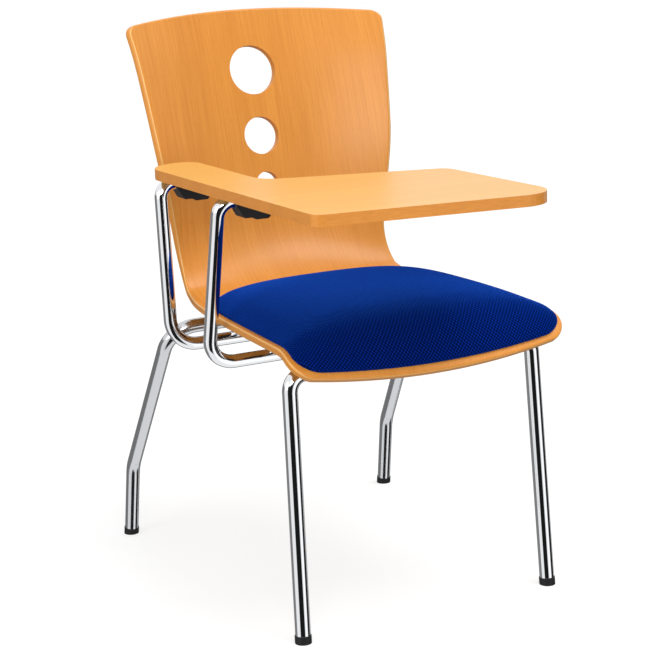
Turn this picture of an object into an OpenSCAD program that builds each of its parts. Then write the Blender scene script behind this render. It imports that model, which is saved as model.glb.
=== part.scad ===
// Tablet arm chair: moulded plywood shell on a four-legged tube frame, a padded seat cushion
// and a writing tablet carried by two bent arm tubes on the sitter's right.
// Z is up, the sitter faces -Y, and the sitter's right is at -X.

/* [Steel frame] */
// Outer diameter of the leg tubes, cross tubes and rails
leg_od = 22; // [18:0.5:26]
// Wall of every tube
tube_wall = 1.5; // [1:0.1:2.5]
// Height of the cross tubes and rails, at their middle
frame_h = 379; // [320:1:440]
// Front cross tube ahead of the frame's origin
front_cross_y = 232; // [200:1:260]
// Rear cross tube behind the frame's origin
rear_cross_y = 126; // [115:1:150]
// Width over the middles of the front legs, at the top
front_top_w = 396; // [340:1:440]
// Width between the middles of the front feet
front_feet_w = 412; // [340:1:480]
// Front feet ahead of the front cross tube
front_rake = 28; // [0:1:80]
// Width over the middles of the rear legs, at the top
rear_top_w = 446; // [400:1:470]
// Width between the middles of the rear feet
rear_feet_w = 481; // [420:1:540]
// Width over the middles of the rear legs, at the kink
kink_w = 476; // [420:1:520]
// Height of the kink in the rear legs
kink_h = 121; // [80:1:180]
// Kink behind the rear cross tube
kink_back = 154; // [90:1:200]
// Rear feet behind the kink
rear_rake = 20; // [0:1:60]
// Middle radius of the bends at the top of the front legs
front_bend_r = 24; // [24:1:60]
// Middle radius of the bends at the top of the rear legs
rear_bend_r = 45; // [30:1:60]
// Middle radius of the kink in the rear legs
kink_r = 70; // [40:1:120]
// Distance between the two rails, middle to middle
rail_w = 240; // [200:1:280]

/* [Feet] */
// Outer diameter of the foot caps
foot_od = 24; // [23.5:0.5:30]
// Height of the foot caps
foot_h = 11; // [9:0.5:30]
// Thickness of the plastic under a tube's end
foot_sole = 4; // [3:0.5:8]
// Length of the plug that a foot cap pushes up into its tube
foot_plug_l = 22; // [18:1:40]

/* [Seat shell] */
// Thickness of the moulded plywood
shell_t = 12; // [9:0.5:15]
// Radius that rounds over the edges of the plywood
shell_edge_r = 4; // [1:0.5:4.5]
// Width of the seat at its front edge
seat_front_w = 447; // [420:1:480]
// Width of the seat along its sides
seat_w = 405; // [380:1:430]
// Width of the shell at its waist, low in the back
waist_w = 364; // [330:1:400]
// Width of the back at the middle hole
back_w = 408; // [370:1:440]
// Width of the back at the top
top_w = 443; // [400:1:470]
// Front roll's flat start ahead of the front cross tube
seat_overhang = 6; // [5:1:40]
// Length of the straight lip at the front edge
lip_l = 23; // [20:1:45]
// Slope of the lip
lip_angle = 53; // [35:1:65]
// Radius of the roll behind the lip, on the upper face
roll_r = 75; // [35:1:80]
// Length of the flat part of the seat
seat_flat_l = 325; // [300:1:370]
// Radius of the bend from seat to back, on the sitter's face
bend_r = 130; // [90:1:160]
// Angle of the back above the bend, from level
back_angle = 78.2; // [74:0.1:86]
// Length of the straight part of the back
back_straight_l = 116; // [80:1:160]
// Length of the upper part of the back, which leans further
back_upper_l = 212; // [190:1:240]
// Further lean at the top edge
back_upper_angle = 5.6; // [1:0.1:12]
// Depth of the back's dish at its deepest
dish_d = 63; // [48:0.5:80]
// Depth of the dish where the bend ends
bend_dish_d = 46.5; // [15:0.5:47]
// Depth of the dish at the top edge
top_dish_d = 51; // [25:0.5:70]
// How far the middle of the front edge bows out past its corners, along the plywood
front_bow = 23; // [0:1:35]
// How far the middle of the top edge rises past its corners, along the plywood
top_bow = 30; // [0:1:45]
// Width of each rounded front corner
front_corner_w = 32; // [15:1:50]
// Length of each rounded front corner, along the plywood
front_corner_l = 50; // [20:1:60]
// Radius of the top corners
top_corner_r = 18; // [10:1:40]

/* [Back holes] */
// Diameter of the top hole
hole_top_d = 79; // [50:1:90]
// Diameter of the middle hole
hole_mid_d = 60; // [40:1:70]
// Diameter of the bottom hole
hole_low_d = 39; // [25:1:50]
// Middle of the top hole below the top edge
hole_top_drop = 100; // [90:1:115]
// Middle of the middle hole below the top edge
hole_mid_drop = 206; // [190:1:220]
// Middle of the bottom hole below the top edge
hole_low_drop = 284; // [270:1:300]

/* [Cushion] */
// Thickness of the board under the foam
base_t = 4; // [3:0.5:6]
// Thickness of the fabric cover
cover_t = 1.5; // [1:0.1:3]
// Wood left showing beside the cushion
cushion_rim = 7.5; // [4:0.5:20]
// Wood left showing in front of the cushion
cushion_front_rim = 12; // [4:0.5:20]
// Length of the cushion along the seat
cushion_l = 440; // [400:1:460]
// Height of the cushion's rounded edge
cushion_edge_h = 9; // [8:0.5:20]
// Height of the cushion's crown above its edge
cushion_crown_h = 31; // [6:0.5:36]
// Distance over which the crown rises behind the cushion's front edge
cushion_front_rise_l = 110; // [60:1:150]
// Distance over which the cushion's edge rounds over
cushion_roll = 38; // [20:1:50]
// How far the fabric draws in under the cushion's sides
cushion_tuck = 3; // [1:0.5:8]
// How far the rear edge of the cushion bows back past its corners
cushion_bow = 37; // [0:1:40]
// Width of each rounded front corner of the cushion
cushion_front_w = 36; // [20:1:60]
// Width of each rounded rear corner of the cushion
cushion_rear_w = 134; // [40:1:150]
// Length of each rounded rear corner of the cushion
cushion_rear_l = 67; // [30:1:90]

/* [Arm tubes] */
// Outer diameter of the two arm tubes
arm_od = 20; // [16:0.5:22]
// Middle of the upright arm tubes outside the seat's side
arm_out = 29.5; // [25:0.5:50]
// Rear arm tube ahead of the rear cross tube
arm_setback = 28; // [25:1:45]
// Distance between the two arm tubes where they pass under the rails
arm_pitch = 135; // [110:1:150]
// How far the front arm tube leans forward on its way up
front_arm_lean = 63; // [30:1:80]
// How far the rear arm tube leans back on its way up
rear_arm_lean = 12; // [0:1:25]
// Middle radius of the lower arm bends
arm_low_r = 42; // [32:1:60]
// Middle radius of the upper arm bends
arm_top_r = 22; // [20:0.5:30]
// Length of the level stub at the top of each arm tube, from the upright's middle
arm_stub_l = 66; // [58:1:80]
// How far the arm tubes run past the second rail
arm_tail_l = 30; // [22:1:60]

/* [Tablet] */
// Height of the tablet's top above the flat of the seat
tablet_rise = 208.5; // [190:0.5:260]
// Thickness of the tablet
tablet_t = 15.5; // [14:0.5:25]
// Tablet's outer edge outside the arm tubes' middle, at its rear end
tablet_over = 16; // [15:1:40]
// How far the outer edge leans in towards its front end
tablet_lean = 4; // [0:1:20]
// Tablet's tail behind the rear arm tube
tablet_tail = 24; // [18:1:60]
// Length of the tablet along its outer edge
tablet_l = 550; // [520:1:600]
// Width of the armrest strip
strip_w = 82; // [80:1:95]
// Length of the armrest strip's inner edge
strip_l = 239; // [220:1:260]
// Width of the writing surface along its rear edge, from the strip
writing_w = 258; // [220:1:290]
// Inner end of the writing surface's rear edge ahead of its outer end
writing_slant = 76; // [40:1:90]
// Depth of the writing surface along its inner edge
writing_d = 282; // [260:1:320]
// How far the writing surface's inner edge leans out towards its front end
writing_flare = 9; // [0:1:20]
// Radius of the tail's outer corner
tail_outer_r = 54; // [30:1:56]
// Radius of the tail's inner corner
tail_inner_r = 25; // [10:1:27]
// Radius where the strip opens into the writing surface
throat_r = 40; // [20:1:60]
// Radius of the writing surface's rear inner corner
rear_corner_r = 22; // [10:1:40]
// Radius of the writing surface's front inner corner
front_inner_r = 50; // [20:1:90]
// Radius of the writing surface's front outer corner
front_outer_r = 18; // [8:1:40]

/* [Tablet brackets] */
// Length of each bracket along its stub
bracket_l = 57; // [55:1:66]
// Width of each bracket
bracket_w = 27; // [26.5:0.5:34]
// Depth of each bracket's inner boss below the tablet
bracket_d = 38.5; // [34:0.5:44]
// Depth of the outer boss below the tablet
outer_boss_d = 35; // [31:0.5:40]
// Depth of the bracket's outer end below the tablet
bracket_nose_d = 16.5; // [13:0.5:22]
// Diameter of the boss round each screw
boss_d = 25; // [22:0.5:26]

/* [Fasteners] */
// Thread of the bolts that hold the shell to the rails
seat_bolt_d = 6; // [5:0.5:8]
// Thread of the screws that hold the tablet
tablet_screw_d = 5; // [4:0.5:6]
// Thread of the screws that hold the cushion
cushion_screw_d = 4; // [3:0.5:5]
// Height of the spacers between the rails and the shell
spacer_h = 21; // [15:1:32]
// Front spacers' middles behind the front cross tube
front_spacer_inset = 110; // [60:1:130]
// Rear spacers' middles ahead of the rear cross tube
rear_spacer_inset = 66; // [60:1:80]

/* [Hidden] */
$fn = 48;

// Clearance between pieces that are welded or pushed together
fit_gap = 0.1;
// Clearance under soft or curved neighbours
soft_gap = 0.5;
// How far every cut runs past the face it opens
overrun = 2;
// A bend is this much fatter than its straights, which end this far inside it
bend_swell = 0.1;
bend_reach = 1;

// Colours of the real materials
beech = "#d98d45";
beech_pale = "#f2b76a";
blue = "#10299c";
chrome = "#c9ccd1";
black = "#1c1c1e";
zinc = "#a9adb2";
foam = "#e6dfc8";
brass = "#b08d4a";

// Small vector helpers
function unit(v) = v / norm(v);
function bend_of(a, b, c) = acos(unit(b - a) * unit(c - b));

// Axis columns that turn local Z onto a direction, for any direction but straight up or down
function upright_axes(dir) = abs(dir.z) > 0.9
    ? [unit(cross([0, 1, 0], dir)), unit(cross(dir, cross([0, 1, 0], dir)))]
    : [unit(cross([0, 0, 1], dir)), unit(cross(dir, cross([0, 0, 1], dir)))];

// Puts its children in the axes x, y, z at a place
module in_axes(x, y, z, place) {
    multmatrix([[x.x, y.x, z.x, place.x], [x.y, y.y, z.y, place.y],
        [x.z, y.z, z.z, place.z], [0, 0, 0, 1]])
        children();
}

// Straight round bar from a to b
module bar(a, b, d) {
    dir = unit(b - a);
    axes = upright_axes(dir);
    in_axes(axes[0], axes[1], dir, a) cylinder(h = norm(b - a), d = d);
}

// Round bar through points, with the bend radius of each point in radii
module bent_bar(points, radii, d) {
    last = len(points) - 1;
    cut = [for (i = [0:last]) i == 0 || i == last ? 0
        : radii[i] * tan(bend_of(points[i - 1], points[i], points[i + 1]) / 2)];
    reach = [for (c = cut) c == 0 ? 0 : c - bend_reach];
    for (i = [0:last - 1]) {
        along = unit(points[i + 1] - points[i]);
        bar(points[i] + along * reach[i], points[i + 1] - along * reach[i + 1], d);
    }
    for (i = [1:last - 1]) {
        came = unit(points[i] - points[i - 1]);
        normal = unit(cross(came, points[i + 1] - points[i]));
        inward = cross(normal, came);
        centre = points[i] - came * cut[i] + inward * radii[i];
        in_axes(-inward, came, normal, centre)
            rotate_extrude(angle = bend_of(points[i - 1], points[i], points[i + 1]))
                translate([radii[i], 0])
                    circle(r = d / 2 + bend_swell);
    }
}

// Bent tube with open ends
module bent_tube(points, radii, od) {
    last = len(points) - 1;
    before = points[0] + unit(points[0] - points[1]) * overrun;
    after = points[last] + unit(points[last] - points[last - 1]) * overrun;
    inner = [for (i = [0:last]) i == 0 ? before : i == last ? after : points[i]];
    difference() {
        bent_bar(points, radii, od);
        bent_bar(inner, radii, od - 2 * tube_wall);
    }
}

// Outline with one fillet radius per corner
fillet_steps = 10;
function fillet(a, b, c, r) =
    let (u = unit(a - b), v = unit(c - b), half = acos(u * v) / 2,
        mid = b + unit(u + v) * r / sin(half),
        from = b + u * r / tan(half) - mid, to = b + v * r / tan(half) - mid,
        first = atan2(from.y, from.x), raw = atan2(to.y, to.x) - first,
        turn = raw > 180 ? raw - 360 : raw < -180 ? raw + 360 : raw)
    [for (i = [0:fillet_steps])
        mid + [cos(first + turn * i / fillet_steps), sin(first + turn * i / fillet_steps)] * r];
function filleted(corners, radii) = let (n = len(corners))
    [for (i = [0:n - 1]) each fillet(corners[(i + n - 1) % n], corners[i],
        corners[(i + 1) % n], radii[i])];

// Heights that stack up from the frame
rail_top_z = frame_h + leg_od / 2;
seat_under_z = rail_top_z + spacer_h;
seat_top_z = seat_under_z + shell_t;
tablet_top_z = seat_top_z + tablet_rise;
tablet_under_z = tablet_top_z - tablet_t;
arm_low_z = frame_h - leg_od / 2 - arm_od / 2 - fit_gap;
arm_top_z = tablet_under_z - arm_od / 2 - fit_gap;

// The shell is bent along a path in the YZ plane, measured from the front edge: each run has a
// length and the angle that it turns through, up being positive
roll_l = roll_r * lip_angle * PI / 180;
bend_l = bend_r * back_angle * PI / 180;
runs = [[lip_l, 0], [roll_l, -lip_angle], [seat_flat_l, 0], [bend_l, back_angle],
    [back_straight_l, 0], [back_upper_l, -back_upper_angle]];
flat_at = lip_l + roll_l;
bend_at = flat_at + seat_flat_l;
back_at = bend_at + bend_l;
upper_at = back_at + back_straight_l;
top_at = upper_at + back_upper_l;

// Chord of an arc as a share of its length
function chord_share(turn) = turn == 0 ? 1 : sin(turn / 2) / (turn * PI / 360);
function advance(len, turn, heading) =
    len * chord_share(turn) * [cos(heading + turn / 2), sin(heading + turn / 2)];
// Place and heading after s along the runs: [y, z, heading]
function walk(s, i = 0, at = [0, 0], heading = lip_angle) =
    s <= runs[i][0] || i == len(runs) - 1
        ? let (turn = runs[i][1] * s / runs[i][0], p = at + advance(s, turn, heading))
            [p.x, p.y, heading + turn]
        : walk(s - runs[i][0], i + 1, at + advance(runs[i][0], runs[i][1], heading),
            heading + runs[i][1]);
flat_start = walk(flat_at);
function path(s) = let (p = walk(s))
    [p.x - flat_start.x - front_cross_y - seat_overhang, p.y - flat_start.y + seat_top_z, p.z];

// Smooth value at s through a table of [place, value], with no overshoot
function slope(t, i) = (t[i + 1].y - t[i].y) / (t[i + 1].x - t[i].x);
function tangent(t, i) = i == 0 ? slope(t, 0) : i == len(t) - 1 ? slope(t, i - 1)
    : let (before = slope(t, i - 1), after = slope(t, i))
        before * after <= 0 ? 0 : 2 * before * after / (before + after);
function smooth(t, s, i = 0) = i < len(t) - 2 && s > t[i + 1].x ? smooth(t, s, i + 1)
    : let (run = t[i + 1].x - t[i].x, u = min(1, max(0, (s - t[i].x) / run)), v = 1 - u)
        t[i].y * (1 + 2 * u) * v * v + tangent(t, i) * run * u * v * v
        + t[i + 1].y * u * u * (3 - 2 * u) - tangent(t, i + 1) * run * u * u * v;

// Half widths and dish depths along the path
side_share = 0.81;
waist_share = 0.56;
dish_share = 0.3;
widths = [[0, seat_front_w / 2], [flat_at + seat_flat_l * side_share, seat_w / 2],
    [bend_at + bend_l * waist_share, waist_w / 2], [top_at - hole_mid_drop, back_w / 2],
    [top_at, top_w / 2]];
dish_from = bend_at + bend_l * dish_share;
dishes = [[dish_from, 0], [back_at, bend_dish_d],
    [top_at - hole_mid_drop, dish_d], [top_at - hole_top_drop, dish_d],
    [top_at, top_dish_d]];
function half_width(s) = smooth(widths, s);
function dish(s) = s < dish_from ? 0 : smooth(dishes, s);

// Rows bow forward in the middle near the front edge and up in the middle near the top
bow_fade_l = front_corner_l * 3;
function bow(s) = front_bow * pow(max(0, 1 - s / bow_fade_l), 2)
    - top_bow * pow(max(0, 1 - (top_at - s) / back_upper_l), 2);

// Point at height up above the sitter's face, on the row at s and at x across
function on_shell(s, x, up, w) =
    let (k = x / w, p = path(s + bow(s) * k * k), d = dish(s + bow(s) * k * k),
        lean = 2 * d * k / w, size = sqrt(1 + lean * lean), rise = d * k * k + up / size)
    [x - up * lean / size, p.x - sin(p.z) * rise, p.y + cos(p.z) * rise];

// Depth of a rounded edge at a distance from it
function edge_drop(q, r) = q >= r ? 0 : r * (1 - sqrt(1 - pow(1 - q / r, 2)));

// Closed skin over rings of equal length: an upper chain across, then a lower chain back
module loft(rings) {
    n = len(rings[0]);
    last = len(rings) - 1;
    sides = [for (i = [0:last - 1], j = [0:n - 1]) let (a = i * n + j, b = i * n + (j + 1) % n)
        each j < n / 2 ? [[a, b + n, b], [a, a + n, b + n]]
            : [[a, a + n, b], [b, a + n, b + n]]];
    start = [for (j = [0:n / 2 - 2]) let (k = n - 1 - j)
        each [[j, k - 1, k], [j, j + 1, k - 1]]];
    end = [for (j = [0:n / 2 - 2]) let (a = last * n + j, k = last * n + n - 1 - j)
        each [[a, k, k - 1], [a, k - 1, a + 1]]];
    polyhedron([for (ring = rings) each ring], concat(sides, start, end));
}

// Places across a row of half width w: the edge distances of one side, an even middle, the other
function across(w, edges, middles) = let (inner = w - edges[len(edges) - 1])
    concat([for (q = edges) q - w], [for (i = [1:middles - 1]) inner * (2 * i / middles - 1)],
        [for (i = [len(edges) - 1:-1:0]) w - edges[i]]);

// Quarter turn as places between 0 and 1
function quarter_places(steps) = [for (i = [0:steps]) 1 - cos(90 * i / steps)];
function between(a, b, steps) = [for (i = [1:steps]) a + (b - a) * i / steps];
function reversed(list) = [for (i = [len(list) - 1:-1:0]) list[i]];

// Plywood shell
corner_steps = 6;
roll_steps = 5;
flat_steps = 7;
bend_steps = 12;
back_steps = 4;
upper_steps = 5;
shell_middles = 12;
function shell_half_width(s) = let (front = min(1, s / front_corner_l),
        top = min(1, (top_at - s) / top_corner_r))
    half_width(s) - front_corner_w * (1 - sqrt(1 - pow(1 - front, 2)))
        - top_corner_r * (1 - sqrt(1 - pow(1 - top, 2)));
front_rows = concat([for (q = quarter_places(corner_steps)) q * front_corner_l],
    between(front_corner_l, flat_at, roll_steps));
shell_rows = concat(front_rows,
    between(flat_at, bend_at, flat_steps), between(bend_at, back_at, bend_steps),
    between(back_at, upper_at, back_steps),
    between(upper_at, top_at - top_corner_r, upper_steps),
    [for (q = reversed(quarter_places(corner_steps))) if (q < 1) top_at - q * top_corner_r]);
function shell_ring(s) =
    let (w = shell_half_width(s), full = half_width(s),
        end_drop = max(edge_drop(s, shell_edge_r), edge_drop(top_at - s, shell_edge_r)),
        xs = across(w, [for (q = quarter_places(2)) q * shell_edge_r], shell_middles),
        drops = [for (x = xs) max(end_drop, edge_drop(w - abs(x), shell_edge_r))])
    concat([for (i = [0:len(xs) - 1]) on_shell(s, xs[i], -drops[i], full)],
        [for (i = [len(xs) - 1:-1:0]) on_shell(s, xs[i], drops[i] - shell_t, full)]);

// Cushion, on the same rows as the shell where the shell curves
cushion_from = cushion_front_rim;
cushion_to = cushion_from + cushion_l;
cushion_steps = 6;
cushion_middles = 6;
base_middles = 10;
cushion_edge_shares = [0, 0.15, 0.45, 1];
edge_wall_share = 0.35;
crown_side_power = 3.6;
crown_end_power = 2.7;
base_inset = cushion_tuck + cover_t + soft_gap;
base_top = soft_gap + base_t;
foam_inset = base_inset;
cushion_front_l = front_corner_l - cushion_from;
cushion_rows = concat(front_rows, between(flat_at, cushion_to - cushion_rear_l, cushion_steps),
    [for (q = reversed(quarter_places(corner_steps))) if (q < 1) cushion_to - q * cushion_rear_l]);
// The cushion's rows that lie further than inset inside its ends
function rows_inside(inset) =
    [for (s = cushion_rows) if (s > cushion_from + inset && s < cushion_to - inset) s];
// Half width of the cushion's plan, or of the same plan set in all round
function cushion_half_width(s, inset = 0) =
    let (front = max(0, min(1, (s - cushion_from - inset) / cushion_front_l)),
        rear = max(0, min(1, (cushion_to - inset - s) / cushion_rear_l)))
    half_width(s) - cushion_rim - inset - cushion_front_w * (1 - sqrt(1 - pow(1 - front, 2)))
        - cushion_rear_w * (1 - sqrt(1 - pow(1 - rear, 2)));
// The rear edge curves, so rows bow forward towards their ends as they near it
function cushion_shift(s, x) = -cushion_bow * pow(2 * x / seat_w, 2)
    * pow(max(0, (s - flat_at) / (cushion_to - flat_at)), 3);
// Height of the cushion's top at s and x: a rounded edge with a crown inside it
function cushion_top(s, x, w) =
    let (across_share = abs(x / w), along_share = abs(2 * (s - cushion_from) / cushion_l - 1),
        q = min(w - abs(x), s - cushion_from, cushion_to - s),
        round = sqrt(1 - pow(max(0, 1 - q / cushion_roll), 2)),
        rise = 1 - pow(max(0, 1 - (s - cushion_from) / cushion_front_rise_l), 2))
    soft_gap + cushion_edge_h * (edge_wall_share + (1 - edge_wall_share) * round)
        + cushion_crown_h * (1 - pow(across_share, crown_side_power))
            * (1 - pow(along_share, crown_end_power)) * round * rise;
// Places across a layer of the cushion: a rounded edge on each side and an even middle
function layer_places(s, inset) = across(cushion_half_width(s, inset),
    cushion_edge_shares * cushion_roll, cushion_middles);
// Row of points on the cushion's plan, from [x, height] pairs
function section(s, pairs) =
    [for (p = pairs) on_shell(s + cushion_shift(s, p.x), p.x, p.y, half_width(s))];
function base_ring(s) = let (xs = across(cushion_half_width(s, base_inset), [0], base_middles))
    section(s, concat([for (x = xs) [x, base_top]], [for (x = reversed(xs)) [x, soft_gap]]));
// The foam is the space inside the fabric without its outermost places
function foam_ring(s) = let (w = cushion_half_width(s), all = layer_places(s, cover_t),
        xs = [for (i = [1:len(all) - 2]) all[i]])
    section(s, concat([for (x = xs) [x, cushion_top(s, x, w) - cover_t - soft_gap]],
        [for (x = reversed(xs)) [x, base_top + soft_gap]]));
// Section of the fabric: over the top and down the sides, open underneath but at its ends
function skin_ring(s, end) = let (w = cushion_half_width(s),
        foot = cushion_half_width(s, cushion_tuck),
        inner_foot = cushion_half_width(s, cushion_tuck + cover_t))
    section(s, concat([[-foot, soft_gap]],
        [for (x = layer_places(s, 0)) [x, cushion_top(s, x, w)]],
        [[foot, soft_gap], [inner_foot, soft_gap]],
        [for (x = reversed(layer_places(s, cover_t)))
            [x, end ? soft_gap + cover_t / 2 : cushion_top(s, x, w) - cover_t]],
        [[-inner_foot, soft_gap]]));

// Where the seat is bolted to the rails, and where the cushion is screwed to the shell
spacer_ys = [front_spacer_inset - front_cross_y, rear_cross_y - rear_spacer_inset];
seat_bolt_places = [for (x = [-rail_w / 2, rail_w / 2], y = spacer_ys) [x, y]];
spacer_w = leg_od * 1.5;
spacer_l = leg_od * 2;
spacer_saddle_share = 0.3;
cushion_screw_x = rail_w / 2 + leg_od * 1.2;
cushion_screw_places = [for (x = [-1, 1]) each [[x * cushion_screw_x, spacer_ys[0] - spacer_l / 2],
    [x * cushion_screw_x, spacer_ys[1] - spacer_w]]];
cushion_screw_head_d = cushion_screw_d * 2;
cushion_screw_head_h = cushion_screw_d * 0.6;
bolt_hole_d = seat_bolt_d * 1.1;
tee_flange_d = seat_bolt_d * 3.3;
tee_flange_t = seat_bolt_d * 0.2;
tee_barrel_d = seat_bolt_d * 1.35;
tee_barrel_l = shell_t * 0.75;
washer_d = seat_bolt_d * 2.6;
washer_t = seat_bolt_d * 0.25;
bolt_head_d = seat_bolt_d * 1.65;
bolt_head_h = seat_bolt_d * 0.65;

// Legs
function foot_points(x_foot, y_foot, x_top, y_top, h_top) =
    let (floor_point = [x_foot, y_foot, 0], top = [x_top, y_top, h_top])
    [floor_point, unit(top - floor_point)];
front_right_leg = foot_points(-front_feet_w / 2, -front_cross_y - front_rake,
    -front_top_w / 2, -front_cross_y, frame_h);
rear_right_leg = foot_points(-rear_feet_w / 2, rear_cross_y + kink_back + rear_rake,
    -kink_w / 2, rear_cross_y + kink_back, kink_h);
function mirrored(p) = [-p.x, p.y, p.z];

// Arm tubes
arm_x = -seat_w / 2 - arm_out;
arm_tail_x = rail_w / 2 + arm_tail_l;
stub_end_x = arm_x + arm_stub_l;
rear_arm_y = rear_cross_y - arm_setback;
front_arm_y = rear_arm_y - arm_pitch;
rear_stub_y = rear_arm_y + rear_arm_lean;
front_stub_y = front_arm_y - front_arm_lean;
plug_disc_t = arm_od * 0.15;
plug_l = arm_od * 0.7;

// Brackets sit round the last stretch of each stub
bracket_outer_x = arm_x + arm_top_r - fit_gap;
bracket_inner_x = bracket_outer_x + bracket_l;
boss_shares = [0.27, 0.7];
outer_boss_x = bracket_outer_x + bracket_l * boss_shares[0];
inner_boss_x = bracket_outer_x + bracket_l * boss_shares[1];
bracket_channel_d = arm_od + 2 * fit_gap;
bracket_edge_r = boss_d * 0.16;
bracket_end_r = bracket_w * 0.45;
// Where a bracket's underside steps down to its bosses and up again, along its length
bracket_step_shares = [0.19, 0.42, 0.52, 0.86];
bracket_end_share = 0.86;
screw_head_d = tablet_screw_d * 1.9;
screw_head_h = tablet_screw_d * 0.6;
screw_recess = screw_head_h + tablet_screw_d * 0.2;
screw_hole_d = tablet_screw_d * 1.1;
insert_d = tablet_screw_d * 1.6;
insert_l = tablet_t * 0.7;
screw_grip = insert_l * 0.85;
bracket_screw_places = [for (y = [front_stub_y, rear_stub_y])
    each [[outer_boss_x, y, outer_boss_d], [inner_boss_x, y, bracket_d]]];

// Tablet outline, from the tail's outer corner round the tail and the writing surface
tail_y = rear_stub_y + tablet_tail;
outer_x = arm_x - tablet_over;
strip_x = outer_x + strip_w;
tablet_corners = [[outer_x, tail_y], [strip_x, tail_y], [strip_x, tail_y - strip_l],
    [strip_x + writing_w, tail_y - strip_l - writing_slant],
    [strip_x + writing_w + writing_flare, tail_y - strip_l - writing_slant - writing_d],
    [outer_x + tablet_lean, tail_y - tablet_l]];
tablet_outline = filleted(tablet_corners,
    [tail_outer_r, tail_inner_r, throat_r, rear_corner_r, front_inner_r, front_outer_r]);

// The origin is under the middle of the whole chair
foot_edge_x = rear_feet_w / 2 + foot_od / 2;
low_x = min([for (p = tablet_outline) p.x]);
front_y = min([for (p = tablet_outline) p.y]);
foot_edge_y = rear_right_leg[0].y + foot_od / 2;
top_point = on_shell(top_at, 0, -shell_t + shell_edge_r, half_width(top_at));
origin_x = (foot_edge_x + min(low_x, -foot_edge_x)) / 2;
origin_y = (front_y + max(foot_edge_y, top_point.y)) / 2;
module placed() {
    translate([-origin_x, -origin_y, 0]) children();
}

module seat_shell() {
    color(beech) placed() difference() {
        loft([for (s = shell_rows) shell_ring(s)]);
        for (hole = [[hole_top_drop, hole_top_d], [hole_mid_drop, hole_mid_d],
            [hole_low_drop, hole_low_d]]) {
            p = path(top_at - hole[0]);
            translate([0, p.x, p.y]) rotate([p.z, 0, 0])
                cylinder(h = 4 * shell_t, d = hole[1], center = true);
        }
        for (p = seat_bolt_places) {
            translate([p.x, p.y, seat_under_z - overrun])
                cylinder(h = shell_t + 2 * overrun, d = tee_barrel_d + 2 * fit_gap);
            translate([p.x, p.y, seat_top_z - tee_flange_t - fit_gap])
                cylinder(h = tee_flange_t + overrun, d = tee_flange_d + 2 * fit_gap);
        }
        for (p = cushion_screw_places)
            translate([p.x, p.y, seat_under_z - overrun])
                cylinder(h = shell_t + 2 * overrun, d = cushion_screw_d + 2 * fit_gap);
    }
}

module cushion_base() {
    color(black) placed() difference() {
        loft([for (s = rows_inside(base_inset)) base_ring(s)]);
        for (p = cushion_screw_places)
            translate([p.x, p.y, seat_top_z - overrun])
                cylinder(h = base_t + 2 * overrun, d = cushion_screw_d + 2 * fit_gap);
    }
}

module cushion_foam() {
    color(foam) placed() loft([for (s = rows_inside(foam_inset)) foam_ring(s)]);
}

module cushion_cover() {
    wall = cover_t + soft_gap;
    color(blue) placed() loft(concat(
        [skin_ring(cushion_from, true), skin_ring(cushion_from + cover_t, true)],
        [for (s = concat([cushion_from + wall], rows_inside(wall + soft_gap),
            [cushion_to - wall])) skin_ring(s, false)],
        [skin_ring(cushion_to - cover_t, true), skin_ring(cushion_to, true)]));
}

module cushion_screws() {
    under = seat_under_z - cushion_screw_head_h;
    color(zinc) placed() for (p = cushion_screw_places) translate([p.x, p.y, under]) {
        cylinder(h = cushion_screw_head_h, d = cushion_screw_head_d);
        cylinder(h = cushion_screw_head_h + shell_t + base_t, d = cushion_screw_d);
    }
}

module front_leg_tube() {
    foot = front_right_leg[0] + front_right_leg[1] * foot_sole;
    top = [-front_top_w / 2, -front_cross_y, frame_h];
    color(chrome) placed()
        bent_tube([foot, top, mirrored(top), mirrored(foot)],
            [0, front_bend_r, front_bend_r, 0], leg_od);
}

module rear_leg_tube() {
    foot = rear_right_leg[0] + rear_right_leg[1] * foot_sole;
    kink = [-kink_w / 2, rear_cross_y + kink_back, kink_h];
    top = [-rear_top_w / 2, rear_cross_y, frame_h];
    color(chrome) placed()
        bent_tube([foot, kink, top, mirrored(top), mirrored(kink), mirrored(foot)],
            [0, kink_r, rear_bend_r, rear_bend_r, kink_r, 0], leg_od);
}

// Rail between the cross tubes, coped to them and drilled for its two seat bolts
module rail(x) {
    color(chrome) placed() difference() {
        bar([x, -front_cross_y, frame_h], [x, rear_cross_y, frame_h], leg_od);
        bar([x, -front_cross_y - overrun, frame_h], [x, rear_cross_y + overrun, frame_h],
            leg_od - 2 * tube_wall);
        for (y = [-front_cross_y, rear_cross_y])
            bar([x - leg_od, y, frame_h], [x + leg_od, y, frame_h], leg_od + 2 * fit_gap);
        for (y = spacer_ys)
            translate([x, y, frame_h]) cylinder(h = 2 * leg_od, d = bolt_hole_d, center = true);
    }
}

module rail_right() {
    rail(-rail_w / 2);
}

module rail_left() {
    rail(rail_w / 2);
}

// Saddle block between a rail and the shell
module seat_spacers() {
    under = frame_h + leg_od / 2 * (1 - 2 * spacer_saddle_share);
    color(black) placed() for (p = seat_bolt_places) difference() {
        translate([p.x, p.y, under]) linear_extrude(seat_under_z - under) difference() {
            square([spacer_w, spacer_l], center = true);
            for (a = [0:3]) rotate(a * 90) spacer_corner(a % 2 == 0);
        }
        bar([p.x, p.y - spacer_l, frame_h], [p.x, p.y + spacer_l, frame_h],
            leg_od + 2 * fit_gap);
        translate([p.x, p.y, frame_h]) cylinder(h = leg_od + 2 * spacer_h, d = bolt_hole_d);
    }
}

// What a rounded corner takes off a spacer, at the block's +X +Y corner when turned
spacer_corner_r = leg_od * 0.25;
module spacer_corner(straight) {
    r = spacer_corner_r;
    size = straight ? [spacer_w, spacer_l] / 2 : [spacer_l, spacer_w] / 2;
    translate([size.x - r, size.y - r]) difference() {
        square([r, r]);
        circle(r = r);
    }
}

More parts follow.
